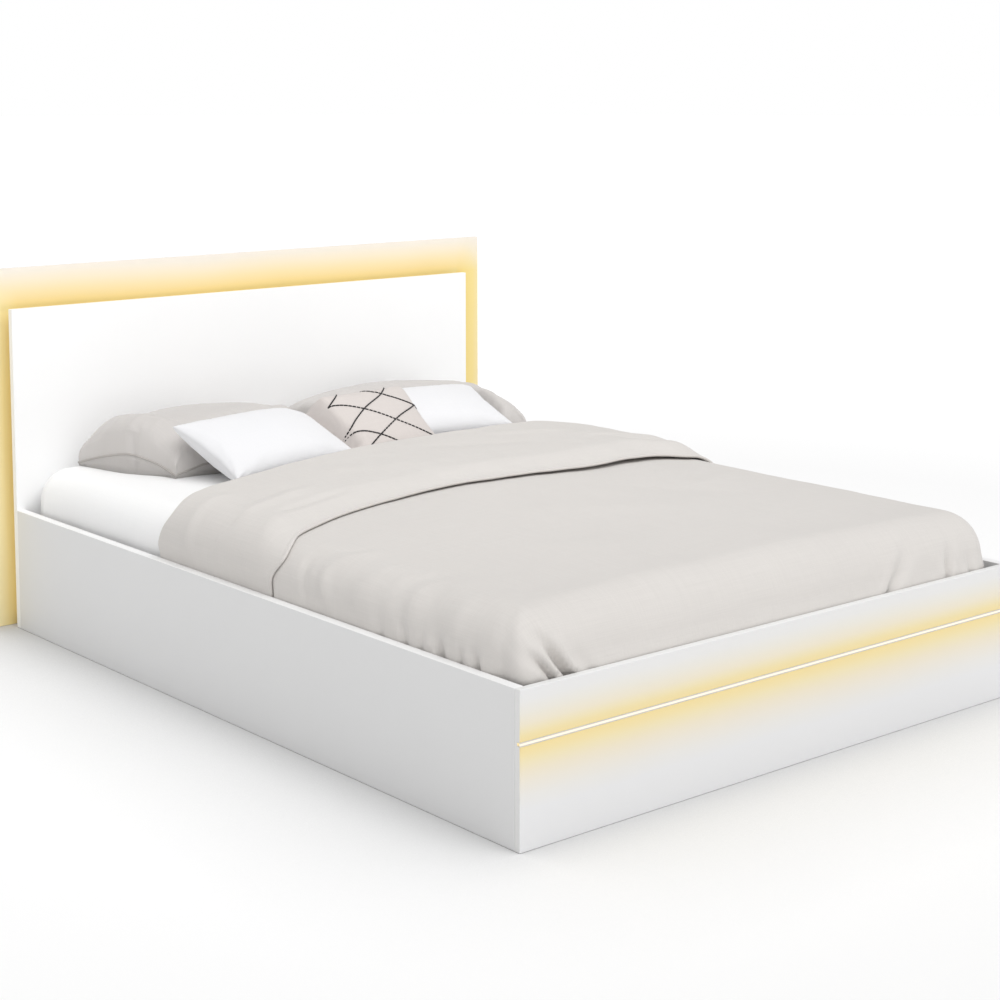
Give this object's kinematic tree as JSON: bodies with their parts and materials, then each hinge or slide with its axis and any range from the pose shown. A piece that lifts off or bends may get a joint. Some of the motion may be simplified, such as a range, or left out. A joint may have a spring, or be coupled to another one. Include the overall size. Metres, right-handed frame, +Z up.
{
  "type": "double bed",
  "caption": "Low panelled double bed with lit headboard and footboard, slatted base, mattress, duvet, pillows and cushions.",
  "frame": {"origin": "on the floor, under the middle of the bed's outer box", "axes": "+Y towards the headboard, +X towards the bed's right-hand side seen from its foot, +Z up"},
  "size_m": [1.63, 2.014, 0.915],
  "materials": {
    "white_laminate": "smooth white melamine on board",
    "pine": "planed, unfinished",
    "zinc_steel": "zinc plated",
    "aluminium": "extruded, satin",
    "led_light": "warm light strip and diffuser",
    "white_plastic": "moulded",
    "black_plastic": "moulded",
    "webbing": "woven tape",
    "mattress_ticking": "woven ticking",
    "white_cotton": "plain woven cotton",
    "greige_cotton": "plain woven cotton",
    "stitched_cotton": "woven cotton with a stitched diamond lattice"
  },
  "bodies": {
    "bed": {"headboard_back_panel": "white_laminate", "headboard_front_panel": "white_laminate", "side_panel_left": "white_laminate", "side_panel_right": "white_laminate", "footboard": "white_laminate", "headboard_batten_left": "pine", "headboard_batten_right": "pine", "headboard_batten_top": "pine", "side_ledge_left": "pine", "side_ledge_right": "pine", "centre_beam": "pine", "slat_01": "pine", "slat_02": "pine", "slat_03": "pine", "slat_04": "pine", "slat_05": "pine", "slat_06": "pine", "slat_07": "pine", "slat_08": "pine", "slat_09": "pine", "slat_10": "pine", "slat_11": "pine", "slat_12": "pine", "slat_13": "pine", "headboard_led_left": "led_light", "headboard_led_right": "led_light", "headboard_led_top": "led_light", "footboard_led_strip": "led_light", "footboard_led_diffuser": "led_light", "footboard_led_channel": "aluminium", "corner_bracket_foot_left": "zinc_steel", "corner_bracket_foot_right": "zinc_steel", "corner_bracket_head_left": "zinc_steel", "corner_bracket_head_right": "zinc_steel", "bracket_screw_foot_left_side": "zinc_steel", "bracket_screw_foot_left_end": "zinc_steel", "bracket_screw_foot_right_side": "zinc_steel", "bracket_screw_foot_right_end": "zinc_steel", "bracket_screw_head_left_side": "zinc_steel", "bracket_screw_head_left_end": "zinc_steel", "bracket_screw_head_right_side": "zinc_steel", "bracket_screw_head_right_end": "zinc_steel", "beam_hanger_foot": "zinc_steel", "beam_hanger_head": "zinc_steel", "centre_leg_foot_end": "zinc_steel", "centre_leg_head_end": "zinc_steel", "led_power_supply": "white_plastic", "power_inlet": "black_plastic", "slat_tape_left": "webbing", "slat_tape_right": "webbing", "mattress": "mattress_ticking", "fitted_sheet": "white_cotton", "cushion_left": "white_cotton", "cushion_right": "white_cotton", "duvet": "greige_cotton", "pillow_left": "greige_cotton", "pillow_right": "greige_cotton", "cushion_patterned": "stitched_cotton"},
    "foot_at_foot_end": {"screw_foot_foot_end": "black_plastic"},
    "foot_at_head_end": {"screw_foot_head_end": "black_plastic"}
  },
  "joints": [
    {"name": "foot_end_screw_foot_height", "type": "slide", "parent": "bed", "child": "foot_at_foot_end", "axis": [0, 0, 1], "range_m": [0, 0.015]},
    {"name": "head_end_screw_foot_height", "type": "slide", "parent": "bed", "child": "foot_at_head_end", "axis": [0, 0, 1], "range_m": [0, 0.015]}
  ]
}
